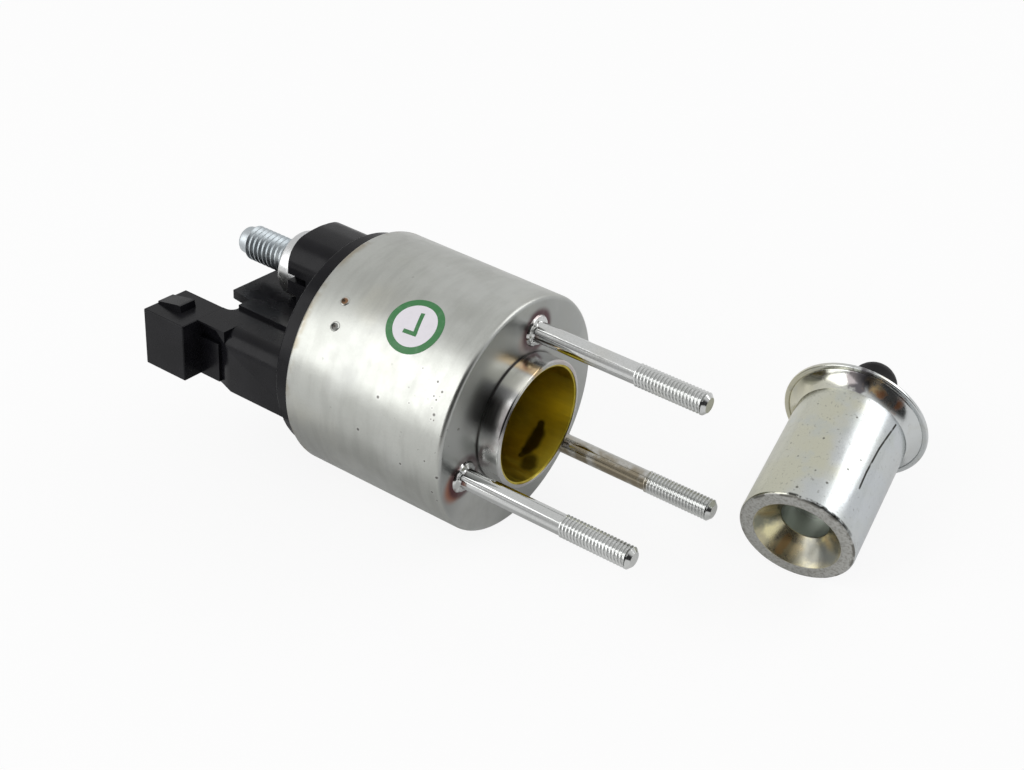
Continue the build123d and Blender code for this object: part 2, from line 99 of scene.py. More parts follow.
def ringEdges(bm, station, radius):
    found = []
    for edge in bm.edges:
        ends = [(v.co.x, math.hypot(v.co.y, v.co.z)) for v in edge.verts]
        if all(abs(x - station * mm) < 1e-6 and abs(r - radius * mm) < 1e-6 for x, r in ends):
            found.append(edge)
    return found


def roundRing(bm, station, radius, size, segments=4):
    bmesh.ops.bevel(
        bm, geom=ringEdges(bm, station, radius), offset=size * mm, affect="EDGES",
        segments=segments, profile=0.5, material=-1, clamp_overlap=True,
    )


def softenByAngle(bm, degrees=32):
    limit = math.radians(degrees)
    for face in bm.faces:
        face.smooth = True
    for edge in bm.edges:
        if len(edge.link_faces) == 2:
            edge.smooth = edge.calc_face_angle(0.0) < limit


def areaNormals(bm):
    # large flats keep their own direction and the narrow bevels blend between them
    found = []
    for vert in bm.verts:
        total = Vector()
        for face in vert.link_faces:
            total += face.normal * face.calc_area()
        found.append(total.normalized())
    return found


def meshFrom(name, bm):
    mesh = bpy.data.meshes.new(name)
    bm.to_mesh(mesh)
    bm.free()
    return mesh


def addObject(name, data):
    thing = bpy.data.objects.new(name, data)
    bpy.context.scene.collection.objects.link(thing)
    return thing


def makePiece(name, bm, finish, body, replaced=(), place=None, weighted=False):
    if place is not None:
        bmesh.ops.transform(bm, matrix=place, verts=bm.verts)
    softenByAngle(bm, 60 if weighted else 32)
    normals = areaNormals(bm) if weighted else None
    mesh = meshFrom(name, bm)
    if normals:
        mesh.normals_split_custom_set_from_vertices(normals)
    piece = addObject(name, mesh)
    mesh.materials.append(finish)
    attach(piece, body)
    if replaced:
        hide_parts(*replaced)
    return piece


# how deep a ridge stands in its bar, and its form in shares of the pitch
threadForm = {"sink": 0.06, "crestStart": 0.42, "crestEnd": 0.56, "ridgeEnd": 0.98}


def addThread(bm, thread):
    # one closed ridge wound round the X axis, joined to the bar it stands on
    pitch = thread["pitch"]
    foot = thread["root"] - threadForm["sink"]
    start = thread["start"]
    outline = [
        (start, foot),
        (start + pitch * threadForm["crestStart"], thread["crest"]),
        (start + pitch * threadForm["crestEnd"], thread["crest"]),
        (start + pitch * threadForm["ridgeEnd"], foot),
    ]
    verts = [bm.verts.new((x * mm, r * mm, 0)) for x, r in outline]
    edges = [bm.edges.new(pair) for pair in zip(verts, verts[1:] + verts[:1])]
    turns = (thread["end"] - start) / pitch - 1
    steps = int(turns * thread["facets"])
    first = bm.faces.new(verts)
    result = bmesh.ops.spin(
        bm, geom=verts + edges, cent=(0, 0, 0), axis=(1, 0, 0),
        dvec=(pitch * mm * turns / steps, 0, 0), angle=math.tau * turns, steps=steps,
    )
    last = [item for item in result["geom_last"] if isinstance(item, bmesh.types.BMVert)]
    bmesh.ops.contextual_create(bm, geom=last)
    ridge = set(first.verts) | set(last)
    grown = True
    while grown:
        more = {e.other_vert(v) for v in ridge for e in v.link_edges} - ridge
        grown = bool(more)
        ridge |= more
    faces = [face for face in bm.faces if face.verts[0] in ridge]
    bmesh.ops.recalc_face_normals(bm, faces=faces)


# Materials

def newFinish(name):
    material = bpy.data.materials.new(name)
    material.use_nodes = True
    tree = material.node_tree
    return material, tree, tree.nodes["Principled BSDF"]


def objectPoint(tree):
    return tree.nodes.new("ShaderNodeTexCoord").outputs["Object"]


def place3d(tree, scale=(1, 1, 1), move=(0, 0, 0)):
    mapping = tree.nodes.new("ShaderNodeMapping")
    mapping.inputs["Scale"].default_value = scale
    mapping.inputs["Location"].default_value = move
    tree.links.new(objectPoint(tree), mapping.inputs["Vector"])
    return mapping.outputs["Vector"]


def noise(tree, vector, scale, detail):
    texture = tree.nodes.new("ShaderNodeTexNoise")
    texture.inputs["Scale"].default_value = scale
    texture.inputs["Detail"].default_value = detail
    texture.inputs["Roughness"].default_value = 0.55
    tree.links.new(vector, texture.inputs["Vector"])
    return texture.outputs["Fac"]


def rangeOf(tree, value, low, high, toLow=0.0, toHigh=1.0):
    remap = tree.nodes.new("ShaderNodeMapRange")
    remap.interpolation_type = "SMOOTHSTEP"
    remap.inputs["From Min"].default_value = low
    remap.inputs["From Max"].default_value = high
    remap.inputs["To Min"].default_value = toLow
    remap.inputs["To Max"].default_value = toHigh
    tree.links.new(value, remap.inputs["Value"])
    return remap.outputs["Result"]


def grain(tree, density, detail, low, high, toLow=0.0, toHigh=1.0, **mapping):
    # noise on the piece's own coordinates, spread between two levels
    texture = noise(tree, place3d(tree, **mapping), density, detail)
    return rangeOf(tree, texture, low, high, toLow, toHigh)


def fillSocket(tree, socket, value):
    if isinstance(value, bpy.types.NodeSocket):
        tree.links.new(value, socket)
    else:
        socket.default_value = value


def mixStep(tree, dataType, socketType, amount, first, second):
    mix = tree.nodes.new("ShaderNodeMix")
    mix.data_type = dataType
    tree.links.new(amount, mix.inputs["Factor"])
    for name, value in (("A", first), ("B", second)):
        fillSocket(tree, [i for i in mix.inputs if i.name == name and i.type == socketType][0], value)
    return [o for o in mix.outputs if o.type == socketType][0]


def mixColour(tree, amount, first, second):
    first, second = ((*value, 1.0) if isinstance(value, tuple) else value for value in (first, second))
    return mixStep(tree, "RGBA", "RGBA", amount, first, second)


def mixValue(tree, amount, first, second):
    return mixStep(tree, "FLOAT", "VALUE", amount, first, second)


def mathStep(tree, kind, first, second):
    step = tree.nodes.new("ShaderNodeMath")
    step.operation = kind
    for socket, value in zip(step.inputs, (first, second)):
        fillSocket(tree, socket, value)
    return step.outputs["Value"]


def times(tree, first, second):
    return mathStep(tree, "MULTIPLY", first, second)


def vectorStep(tree, kind, *values):
    step = tree.nodes.new("ShaderNodeVectorMath")
    step.operation = kind
    for socket, value in zip(step.inputs, values):
        fillSocket(tree, socket, value)
    return step.outputs["Value" if kind in ("DOT_PRODUCT", "DISTANCE", "LENGTH") else "Vector"]


def axisValue(tree, axis):
    split = tree.nodes.new("ShaderNodeSeparateXYZ")
    tree.links.new(objectPoint(tree), split.inputs["Vector"])
    return split.outputs[axis]


def radiusFromAxis(tree):
    return vectorStep(tree, "LENGTH", place3d(tree, scale=(0, 1, 1)))


def distanceFrom(tree, point):
    return vectorStep(tree, "DISTANCE", objectPoint(tree), point)


def addBump(tree, shader, height, strength, distance):
    bump = tree.nodes.new("ShaderNodeBump")
    bump.inputs["Strength"].default_value = strength
    bump.inputs["Distance"].default_value = distance
    tree.links.new(height, bump.inputs["Height"])
    tree.links.new(bump.outputs["Normal"], shader.inputs["Normal"])


def lineMask(tree, start, end, width):
    # 1 on a straight segment between two points, fading out over its width
    along = Vector(end) - Vector(start)
    offset = vectorStep(tree, "SUBTRACT", objectPoint(tree), start)
    clamp = tree.nodes.new("ShaderNodeClamp")
    share = vectorStep(tree, "DOT_PRODUCT", offset, along / along.length_squared)
    tree.links.new(share, clamp.inputs["Value"])
    foot = vectorStep(tree, "MULTIPLY", clamp.outputs["Result"], along)
    return rangeOf(tree, vectorStep(tree, "DISTANCE", offset, foot), width * 0.4, width, 1.0, 0.0)


def spotMask(tree, point, inner, outer, amount=1.0):
    return rangeOf(tree, distanceFrom(tree, point), inner, outer, amount, 0.0)


def raggedSpot(tree, point, inner, outer, spread, amount):
    # a spot whose edge wanders in and out by about its spread
    wander = grain(tree, 330, 4.0, 0.3, 0.7, -spread, spread)
    reach = mathStep(tree, "ADD", distanceFrom(tree, point), wander)
    return rangeOf(tree, reach, inner, outer, amount, 0.0)


def paintSpots(tree, colour, spots):
    # each spot: place in millimetres, inner and outer radius, its colour and how strong it is
    for place, inner, outer, shade, amount in spots:
        mask = spotMask(tree, Vector(place) * mm, inner * mm, outer * mm, amount)
        colour = mixColour(tree, mask, colour, shade)
    return colour


zincLook = {
    "plate": (0.505, 0.515, 0.485), "shade": (0.455, 0.465, 0.435), "warm": (0.50, 0.49, 0.42),
    "grit": (0.36, 0.36, 0.34), "pit": (0.16, 0.15, 0.13),
    "roughLow": 0.28, "roughHigh": 0.36, "pitScale": 520.0, "pitAmount": 0.35,
}


def zincFinish(name, look, tint=None):
    material, tree, shader = newFinish(name)
    colour = mixColour(tree, grain(tree, 60, 4.0, 0.35, 0.68), look["plate"], look["shade"])
    warmth = grain(tree, 45, 3.0, 0.52, 0.75, 0.0, 0.5, move=(3, 1, 2))
    colour = mixColour(tree, warmth, colour, look["warm"])
    colour = mixColour(tree, grain(tree, 2600, 2.0, 0.30, 0.70, 0.0, 0.16), colour, look["grit"])
    specks = grain(tree, look["pitScale"], 2.0, 0.72, 0.78, 0.0, look["pitAmount"])
    colour = mixColour(tree, specks, colour, look["pit"])
    rough = grain(tree, 240, 5.0, 0.3, 0.7, look["roughLow"], look["roughHigh"])
    if tint:
        colour, rough = tint(tree, colour, rough)
    tree.links.new(colour, shader.inputs["Base Color"])
    shader.inputs["Metallic"].default_value = 1.0
    tree.links.new(rough, shader.inputs["Roughness"])
    addBump(tree, shader, noise(tree, place3d(tree), 1600, 3.0), 0.10, 0.00006)
    return material


# marks on the can, with places in millimetres
canMarks = {
    "pits": [
        (-38.5, -26.5, -5.1), (-20.9, -26.4, 5.8), (-9.9, -26.9, 2.3), (-3.7, -26.3, 5.9),
        (-9.8, -22.2, 15.4), (-17.2, -23.1, 14.0), (-3.5, -19.1, 19.1), (-4.1, -20.4, 17.7),
        (-4.4, -21.6, 16.3), (-3.5, -22.2, 15.4), (-5.3, -18.0, 20.1), (-4.9, -20.1, 18.1),
        (-3.9, -22.8, 14.5), (-0.6, -26.7, 3.2), (-2.1, -26.96, -1.5), (-1.2, -26.7, -3.6),
        (-9.7, -17.1, 20.9),
    ],
    "pitShade": (0.06, 0.055, 0.05), "pitHalo": (0.60, 0.60, 0.58),
    "stakes": [(-33.5, -12.2, 24.1), (-32.6, -16.9, 21.1)],
    "stakeShades": [(0.20, 0.10, 0.045), (0.10, 0.10, 0.095)], "stakeHoleShade": (0.03, 0.025, 0.02),
    "speckPlace": (-4.0, -22.5, 14.5), "speckShade": (0.10, 0.09, 0.08),
    # the face's tone is painted shade, and its light spot a painted pool of light
    "facePaintedShade": (0.38, 0.39, 0.38), "facePaintedLight": (0.60, 0.61, 0.59), "facePaintedLightPlace": (0.0, -15.0, -17.0),
    "neckTone": (0.52, 0.52, 0.52), "neckCloud": (0.46, 0.38, 0.37),
    # painted reflection bands along the neck, dark, bright and warm: side and height, half width and shade
    "bandLength": 5.4,
    "neckReflectionBands": [
        ((-10.9, 9.7), 4.6, (0.15, 0.14, 0.14)),
        ((-3.8, 14.1), 3.2, (0.95, 0.94, 0.86)),
        ((0.5, 14.6), 2.2, (0.66, 0.50, 0.30)),
        ((-14.5, 1.8), 3.6, (0.85, 0.86, 0.84)),
    ],
    "weldCircle": 19.5, "weldAngles": (66.7, 186.7, 306.7), "weldWarmth": (0.25, 0.80, 0.25),
    "heatDark": (0.075, 0.020, 0.030), "heatWarm": (0.36, 0.10, 0.03),
    # painted shade for the crease at the neck's root, then the rim's stain
    "neckRootShade": (0.05, 0.04, 0.04), "rimStain": (0.33, 0.295, 0.22),
    "smear": (0.38, 0.385, 0.36), "haze": (0.60, 0.61, 0.59),
}


def weldHeat(tree, colour):
    # tempering colours round each stud's weld
    spots = []
    for angle, warm in zip(canMarks["weldAngles"], canMarks["weldWarmth"]):
        side, height = aroundAxis(angle, canMarks["weldCircle"])
        spots.append(((0, side - 2.4, height - 0.4), 2.8, 5.0, canMarks["heatWarm"], warm))
        spots.append(((0, side, height), 4.2, 5.7, canMarks["heatDark"], 0.9))
    return paintSpots(tree, colour, spots)


def neckTone(tree):
    cloudy = grain(tree, 130, 3.0, 0.45, 0.7, 0.0, 0.6)
    tone = mixColour(tree, cloudy, canMarks["neckTone"], canMarks["neckCloud"])
    # painted reflections: dark and bright bands laid along the neck
    for place, width, shade in canMarks["neckReflectionBands"]:
        start, end = (Vector((station, *place)) * mm for station in (0, canMarks["bandLength"]))
        tone = mixColour(tree, lineMask(tree, start, end, width * mm), tone, shade)
    return tone


def canDents(tree, colour):
    # pits with a faint halo, the two stakes with painted shade in their hollows, and fine specks low on the
    # front third
    spots = []
    for number, place in enumerate(canMarks["pits"]):
        size = 0.20 + 0.09 * (number * 7 % 4)
        spots.append((place, size, size + 0.35, canMarks["pitHalo"], 0.16 + 0.10 * (number % 3)))
        spots.append((place, size * 0.3, size, canMarks["pitShade"], 0.85))
    for place, shade in zip(canMarks["stakes"], canMarks["stakeShades"]):
        spots.append((place, 0.55, 0.95, shade, 0.95))
        # painted shade in the hollow of each punch mark
        spots.append(((place[0] - 0.25, *place[1:]), 0.1, 0.55, canMarks["stakeHoleShade"], 0.9))
    colour = paintSpots(tree, colour, spots)
    region = spotMask(tree, Vector(canMarks["speckPlace"]) * mm, 2 * mm, 13 * mm, 0.9)
    speck = times(tree, grain(tree, 850, 2.0, 0.70, 0.745, move=(6, 3, 9)), region)
    return mixColour(tree, speck, colour, canMarks["speckShade"])


def canTint(tree, colour, rough):
    # front face and neck are smoother than the drawn side; the face's colour is painted shade with a
    # painted pool of light, and the neck carries painted reflection bands
    along = axisValue(tree, "X")
    onFace = rangeOf(tree, along, -0.55 * mm, -0.05 * mm)
    onNeck = rangeOf(tree, along, 0.1 * mm, 0.5 * mm)
    # painted light: a lighter pool low on the face, over its painted shade
    low = spotMask(tree, Vector(canMarks["facePaintedLightPlace"]) * mm, 5 * mm, 17 * mm)
    facePaintedShade = mixColour(tree, low, canMarks["facePaintedShade"], canMarks["facePaintedLight"])
    colour = weldHeat(tree, mixColour(tree, onFace, colour, facePaintedShade))
    colour = mixColour(tree, onNeck, colour, neckTone(tree))
    rough = mixValue(tree, onNeck, mixValue(tree, onFace, rough, 0.30), 0.20)
    # painted shade in the crease round the foot of the neck, and a stain on the rolled rear rim
    root = times(
        tree,
        rangeOf(tree, radiusFromAxis(tree), 14.5 * mm, 15.3 * mm, 0.8, 0.0),
        rangeOf(tree, along, 0.25 * mm, 0.6 * mm, 1.0, 0.0),
    )
    root = times(tree, root, rangeOf(tree, along, -0.6 * mm, -0.1 * mm))
    colour = mixColour(tree, root, colour, canMarks["neckRootShade"])
    rim = rangeOf(tree, along, -40.2 * mm, -38.6 * mm, 0.85, 0.0)
    rim = times(tree, rim, grain(tree, 260, 3.0, 0.42, 0.62))
    colour = mixColour(tree, rim, colour, canMarks["rimStain"])
    # faint smears round the drawn side, and grey finger marks
    smear = grain(tree, 90, 4.0, 0.42, 0.70, 0.0, 0.45, scale=(5, 1, 1))
    colour = mixColour(tree, smear, colour, canMarks["smear"])
    haze = grain(tree, 45, 5.0, 0.47, 0.66, 0.0, 0.50, move=(1, 8, 4))
    colour = mixColour(tree, haze, colour, canMarks["haze"])
    rough = mathStep(tree, "ADD", rough, times(tree, haze, 0.25))
    return canDents(tree, colour), rough


# marks on the plunger: a place is a station, an angle and a distance from its axis
plungerMarks = {
    "pits": [
        (22.7, 98.1), (11.0, 109.9), (16.4, 54.8), (6.4, 73.6), (29.9, 90.1), (15.1, 125.5),
        (17.1, 94.8), (2.6, 96.2), (20.4, 117.0), (8.2, 88.0), (25.6, 76.0), (12.3, 62.0),
        (4.4, 121.0), (27.0, 118.0),
    ],
    "pitShade": (0.07, 0.065, 0.05),
    "scratch": [(31.0, 37.5), (26.5, 40.5), (22.4, 43.0), (15.0, 44.3), (10.5, 43.6)],
    "scratchShade": (0.035, 0.035, 0.03),
    "cool": (0.56, 0.59, 0.62), "warm": (0.58, 0.575, 0.46),
    "patch": (0.52, 0.55, 0.53), "grit": (0.22, 0.22, 0.20),
    "mouthTone": (0.44, 0.44, 0.42), "mouthGrain": (0.29, 0.285, 0.26), "mouthWorn": (0.09, 0.085, 0.07),
    "nick": (0.03, 0.03, 0.025), "nickPlace": (0.4, 75),
    "sinkTone": (0.50, 0.46, 0.31), "sinkStain": (0.36, 0.35, 0.29), "sinkRough": 0.24,
    "pocketTone": (0.58, 0.61, 0.57), "pocketRough": 0.40,
    "streak": [(1.0, 243, 9.0), (3.6, 243, 6.7)], "streakShade": (0.92, 0.52, 0.16),
    # stains: place, inner and outer size, how ragged, shade and roughness
    "sinkStains": [
        ((2.5, 180, 7.6), 2.0, 5.0, 1.1, (0.22, 0.23, 0.18), 0.24),
        ((2.5, 212, 7.6), 1.0, 3.6, 1.1, (0.82, 0.76, 0.46), 0.26),
        ((2.5, 300, 7.6), 1.5, 5.0, 1.1, (0.20, 0.20, 0.18), 0.24),
        ((2.5, 335, 7.6), 1.5, 4.5, 1.1, (0.22, 0.23, 0.21), 0.24),
        ((2.5, 245, 7.6), 0.0, 4.4, 1.1, (0.95, 0.76, 0.42), 0.36),
    ],
}
flangeMarks = {
    "left": (0.62, 0.60, 0.47), "right": (0.60, 0.62, 0.62), "leftPlace": (34, 180, 14),
    "patch": (0.50, 0.50, 0.44), "grit": (0.16, 0.15, 0.13),
    "stains": [
        ((34.0, 86, 14.4), 1.2, 3.6, 1.62, (0.13, 0.12, 0.13), 0.12),
        ((34.0, 96, 14.8), 0.4, 2.0, 0.90, (0.22, 0.20, 0.20), 0.14),
        ((34.0, 71, 14.4), 0.0, 2.8, 1.26, (0.95, 0.70, 0.38), 0.40),
        ((33.4, 66, 14.0), 0.0, 1.9, 0.855, (0.55, 0.27, 0.14), 0.36),
        ((33.9, 48, 14.3), 0.0, 2.0, 0.90, (0.40, 0.18, 0.09), 0.36),
        ((33.3, 55, 13.9), 0.1, 1.1, 0.495, (0.22, 0.17, 0.13), 0.36),
    ],
}


def plungerPoint(station, angle, radius=plungerPlace["bodyRadius"]):
    # a place in the plunger's own frame, carried to where it lies
    across, height = aroundAxis(angle, radius)
    return plungerMatrix() @ (Vector((station, -across, height)) * mm)


def plungerAxes(tree):
    # how far a point lies along the plunger, across it and from its axis
    origin = plungerPoint(0, 0, 0)
    axis = (plungerPoint(10, 0, 0) - origin).normalized()
    side = (plungerPoint(0, 0, 1) - origin).normalized()
    offset = vectorStep(tree, "SUBTRACT", objectPoint(tree), origin)
    away = vectorStep(tree, "CROSS_PRODUCT", offset, axis)
    return (
        vectorStep(tree, "DOT_PRODUCT", offset, axis),
        vectorStep(tree, "DOT_PRODUCT", offset, side),
        vectorStep(tree, "LENGTH", away),
    )


def addStains(tree, colour, rough, stains, amount):
    for place, inner, outer, spread, shade, dull in stains:
        mask = raggedSpot(tree, plungerPoint(*place), inner * mm, outer * mm, spread * mm, amount)
        colour = mixColour(tree, mask, colour, shade)
        rough = mixValue(tree, mask, rough, dull)
    return colour, rough


def mouthTint(tree, colour, rough, along, radius):
    # ragged black line on the rim, then a dull grainy face
    rim = rangeOf(tree, along, 1.05 * mm, 0.60 * mm)
    upper = spotMask(tree, plungerPoint(*plungerMarks["nickPlace"]), 6 * mm, 15 * mm)
    nicks = grain(tree, 520, 4.0, 0.44, 0.56, 0.0, 0.95, move=(2, 9, 1))
    colour = mixColour(tree, times(tree, times(tree, rim, upper), nicks), colour, plungerMarks["nick"])
    speckled = grain(tree, 1900, 4.0, 0.42, 0.66)
    tone = mixColour(tree, speckled, plungerMarks["mouthTone"], plungerMarks["mouthGrain"])
    worn = grain(tree, 380, 4.0, 0.44, 0.58, 0.0, 0.75, move=(4, 4, 1))
    worn = times(tree, rangeOf(tree, radius, 12.2 * mm, 12.6 * mm), worn)
    tone = mixColour(tree, worn, tone, plungerMarks["mouthWorn"])
    mouth = rangeOf(tree, along, 0.15 * mm, 0.35 * mm, 1.0, 0.0)
    return mixColour(tree, mouth, colour, tone), mixValue(tree, mouth, rough, 0.42)


def sinkTint(tree, colour, rough, along, radius):
    # straw coloured countersink with its stains, and the greyer pocket below it
    sunk = rangeOf(tree, radius, 9.75 * mm, 9.95 * mm, 1.0, 0.0)
    sunk = times(tree, sunk, rangeOf(tree, along, 11 * mm, 12 * mm, 1.0, 0.0))
    deep = rangeOf(tree, along, 4.9 * mm, 5.3 * mm)
    stain = grain(tree, 210, 3.0, 0.40, 0.68, 0.0, 0.8)
    tone = mixColour(tree, stain, plungerMarks["sinkTone"], plungerMarks["sinkStain"])
    tone, dull = addStains(tree, tone, plungerMarks["sinkRough"], plungerMarks["sinkStains"], 0.9)
    tone = mixColour(tree, deep, tone, plungerMarks["pocketTone"])
    rough = mixValue(tree, sunk, rough, dull)
    rough = mixValue(tree, times(tree, sunk, deep), rough, plungerMarks["pocketRough"])
    return mixColour(tree, sunk, colour, tone), rough


def plungerScars(tree, colour):
    spots = []
    for number, (station, angle) in enumerate(plungerMarks["pits"]):
        size = 0.18 + 0.08 * (number * 5 % 4)
        spots.append((plungerPoint(station, angle) / mm, size * 0.3, size, plungerMarks["pitShade"], 0.85))
    colour = paintSpots(tree, colour, spots)
    ragged = grain(tree, 420, 3.0, 0.28, 0.42)
    ends = [plungerPoint(*place) for place in plungerMarks["streak"]]
    streak = times(tree, lineMask(tree, *ends, 1.3 * mm), rangeOf(tree, ragged, 0.0, 1.0, 0.15, 0.55))
    colour = mixColour(tree, streak, colour, plungerMarks["streakShade"])
    points = [plungerPoint(*place) for place in plungerMarks["scratch"]]
    for first, second in zip(points, points[1:]):
        mark = times(tree, lineMask(tree, first, second, 0.32 * mm), ragged)
        colour = mixColour(tree, mark, colour, plungerMarks["scratchShade"])
    return colour


def plungerTint(tree, colour, rough):
    # straw and blue patches of the passivated plate, straw to the left and blue to the right
    along, across, radius = plungerAxes(tree)
    drift = grain(tree, 75, 3.0, 0.3, 0.7, -5 * mm, 5 * mm, move=(5, 2, 7))
    toRight = rangeOf(tree, mathStep(tree, "ADD", across, drift), -3 * mm, 6 * mm)
    hue = mixColour(tree, toRight, plungerMarks["warm"], plungerMarks["cool"])
    colour = mixColour(tree, rangeOf(tree, drift, -2 * mm, 2 * mm, 0.15, 0.40), hue, colour)
    colour = mixColour(tree, grain(tree, 170, 4.0, 0.50, 0.70, 0.0, 0.6), colour, plungerMarks["patch"])
    colour = mixColour(tree, grain(tree, 1500, 2.0, 0.62, 0.72, 0.0, 0.45), colour, plungerMarks["grit"])
    colour, rough = mouthTint(tree, colour, rough, along, radius)
    colour, rough = sinkTint(tree, colour, rough, along, radius)
    return plungerScars(tree, colour), rough


def flangeTint(tree, colour, rough):
    # replaces the plate's colour: straw on the left of the lip, grey blue on the right
    toRight = rangeOf(tree, distanceFrom(tree, plungerPoint(*flangeMarks["leftPlace"])), 8 * mm, 24 * mm)
    colour = mixColour(tree, toRight, flangeMarks["left"], flangeMarks["right"])
    colour = mixColour(tree, grain(tree, 240, 4.0, 0.50, 0.72, 0.0, 0.5), colour, flangeMarks["patch"])
    colour = mixColour(tree, grain(tree, 1500, 2.0, 0.66, 0.74, 0.0, 0.5), colour, flangeMarks["grit"])
    return addStains(tree, colour, rough, flangeMarks["stains"], 0.95)


studMarks = {
    # the third stud's mark is a real brown stain plus painted shade
    "stainShadeStart": (4.0, 10.5, -15.0), "stainShadeEnd": (24.0, 10.5, -15.0), "stainShadeWidth": 3.4,
    "stain": (0.27, 0.23, 0.16), "burnt": (0.14, 0.06, 0.055),
}


def studTint(tree, colour, rough):
    # brown stain darkened further with painted shade along the middle of the third stud, and burnt collars
    # at the weld beads
    start, end = (Vector(studMarks[key]) * mm for key in ("stainShadeStart", "stainShadeEnd"))
    stain = lineMask(tree, start, end, studMarks["stainShadeWidth"] * mm)
    stain = times(tree, stain, grain(tree, 300, 3.0, 0.30, 0.55, 0.35, 0.95))
    colour = mixColour(tree, stain, colour, studMarks["stain"])
    burnt = rangeOf(tree, axisValue(tree, "X"), 0.05 * mm, 0.55 * mm, 0.85, 0.0)
    burnt = times(tree, burnt, grain(tree, 420, 3.0, 0.38, 0.58, move=(3, 3, 3)))
    return mixColour(tree, burnt, colour, studMarks["burnt"]), rough


def plasticFinish(name, colour, rough):
    material, tree, shader = newFinish(name)
    lighter = tuple(min(1.0, c * 1.4 + 0.002) for c in colour)
    cloudy = grain(tree, 130, 3.0, 0.3, 0.7)
    tree.links.new(mixColour(tree, cloudy, colour, lighter), shader.inputs["Base Color"])
    tree.links.new(grain(tree, 300, 3.0, 0.3, 0.7, rough - 0.05, rough + 0.07), shader.inputs["Roughness"])
    shader.inputs["Specular IOR Level"].default_value = 0.15
    addBump(tree, shader, noise(tree, place3d(tree), 1800, 2.0), 0.10, 0.00006)
    return material


brass = {
    "bright": (0.58, 0.47, 0.060), "dull": (0.48, 0.38, 0.035),
    "stain": (0.30, 0.22, 0.015), "lowDarkTone": (0.05, 0.035, 0.004),
    # dark marks low in the bore: two places, half width and strength
    "lowMarks": [
        ((-1.0, 8.8, -9.8), (-0.6, 7.0, -11.1), 1.3, 0.95),
        ((-0.6, 7.0, -11.1), (-0.5, 4.9, -12.2), 2.3, 0.97),
        ((-0.5, 4.9, -12.2), (-0.7, 2.9, -12.8), 1.9, 0.97),
        ((-0.7, 2.9, -12.8), (-1.0, 1.2, -13.1), 1.0, 0.85),
        ((1.5, 0.9, -13.1), (2.2, -0.6, -13.1), 2.5, 0.85),
    ],
}


def brassFinish(name):
    material, tree, shader = newFinish(name)
    drawn = grain(tree, 500, 4.0, 0.35, 0.7, scale=(0.12, 1, 1))
    colour = mixColour(tree, drawn, brass["bright"], brass["dull"])
    colour = mixColour(tree, grain(tree, 110, 3.0, 0.56, 0.72, 0.0, 0.35), colour, brass["stain"])
    for start, end, width, amount in brass["lowMarks"]:
        mark = lineMask(tree, Vector(start) * mm, Vector(end) * mm, width * mm)
        colour = mixColour(tree, times(tree, mark, amount), colour, brass["lowDarkTone"])
    tree.links.new(colour, shader.inputs["Base Color"])
    shader.inputs["Metallic"].default_value = 1.0
    tree.links.new(rangeOf(tree, drawn, 0.0, 1.0, 0.30, 0.42), shader.inputs["Roughness"])
    addBump(tree, shader, drawn, 0.08, 0.00005)
    return material


def plainFinish(name, colour, metallic, rough):
    material, tree, shader = newFinish(name)
    cloudy = grain(tree, 150, 3.0, 0.3, 0.7)
    darker = tuple(c * 0.8 for c in colour)
    tree.links.new(mixColour(tree, cloudy, colour, darker), shader.inputs["Base Color"])
    shader.inputs["Metallic"].default_value = metallic
    tree.links.new(rangeOf(tree, cloudy, 0.0, 1.0, rough, rough + 0.08), shader.inputs["Roughness"])
    return material


canZinc = zincFinish("canZinc", zincLook, canTint)
studLook = dict(
    zincLook, plate=(0.66, 0.67, 0.665), shade=(0.60, 0.61, 0.60), warm=(0.62, 0.60, 0.52),
    roughLow=0.08, roughHigh=0.16, pitAmount=0.2,
)
studZinc = zincFinish("studZinc", studLook, studTint)
plungerLook = dict(
    zincLook, plate=(0.60, 0.61, 0.58), shade=(0.56, 0.58, 0.53), warm=(0.60, 0.58, 0.46),
    roughLow=0.18, roughHigh=0.27, pitScale=620.0, pitAmount=0.8,
)
plungerZinc = zincFinish("plungerZinc", plungerLook, plungerTint)
terminalLook = dict(
    zincLook, plate=(0.50, 0.54, 0.565), shade=(0.42, 0.47, 0.50), warm=(0.46, 0.48, 0.47),
    roughLow=0.34, roughHigh=0.46, pitAmount=0.2,
)
terminalZinc = zincFinish("terminalZinc", terminalLook)
collarLook = dict(
    zincLook, plate=(0.68, 0.69, 0.70), shade=(0.63, 0.64, 0.65), roughLow=0.22, roughHigh=0.30,
)
collarZinc = zincFinish("collarZinc", collarLook)
flangeLook = dict(plungerLook, roughLow=0.13, roughHigh=0.20)
flangeZinc = zincFinish("flangeZinc", flangeLook, flangeTint)
sleeveBrass = brassFinish("sleeveBrass")
capPlastic = plasticFinish("capPlastic", (0.0046, 0.0045, 0.0058), 0.24)
tipPlastic = plasticFinish("tipPlastic", (0.0035, 0.0035, 0.0035), 0.5)
innerSteel = plainFinish("innerSteel", (0.42, 0.42, 0.41), 1.0, 0.35)
innerCopper = plainFinish("innerCopper", (0.62, 0.28, 0.14), 1.0, 0.35)
innerNylon = plainFinish("innerNylon", (0.62, 0.56, 0.42), 0.0, 0.5)
sealRubber = plainFinish("sealRubber", (0.02, 0.02, 0.02), 0.0, 0.7)
print("materials made")

# Can with its neck

can = {
    "radius": 27.0, "length": 40.8, "wall": 1.5, "frontWall": 2.5, "corner": 1.0, "rimRound": 0.6,
    "neckRadius": 14.6, "neckLength": 5.4, "neckRim": 0.5, "sleeveRadius": 13.65,
    "stakeLip": [(-0.15, 0.58), (0.10, 0.66), (0.16, 0.82), (0.09, 1.0), (-0.15, 1.25)],
}


